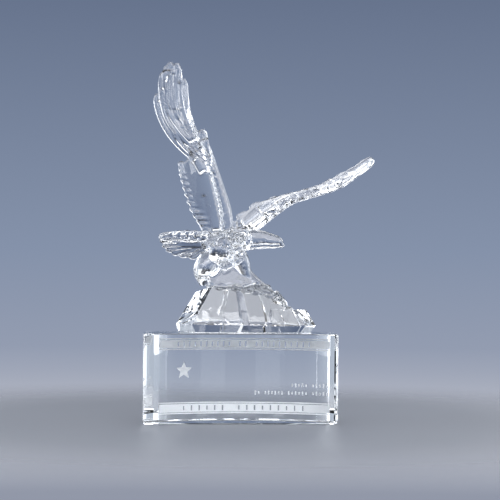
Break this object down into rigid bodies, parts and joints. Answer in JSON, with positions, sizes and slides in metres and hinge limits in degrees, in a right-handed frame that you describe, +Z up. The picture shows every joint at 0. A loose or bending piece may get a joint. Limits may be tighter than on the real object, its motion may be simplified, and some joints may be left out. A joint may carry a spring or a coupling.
{
  "type": "crystal eagle award",
  "caption": "Clear crystal award: an eagle with raised wings on a faceted rock, standing on a crystal block that is flat in front and curved behind.",
  "frame": {"origin": "middle of the plinth's underside, halfway between its flat front and the crown of its curved back", "axes": "+Z up, the flat front of the plinth faces -Y, the eagle's beak points to +X"},
  "size_m": [0.1682, 0.0909, 0.2484],
  "materials": {
    "cast_crystal": "clear, cast and polished",
    "optical_crystal": "clear, polished, sandblasted bands on the back"
  },
  "bodies": {
    "root": {"crystal_eagle": "cast_crystal", "crystal_plinth": "optical_crystal"}
  },
  "joints": []
}
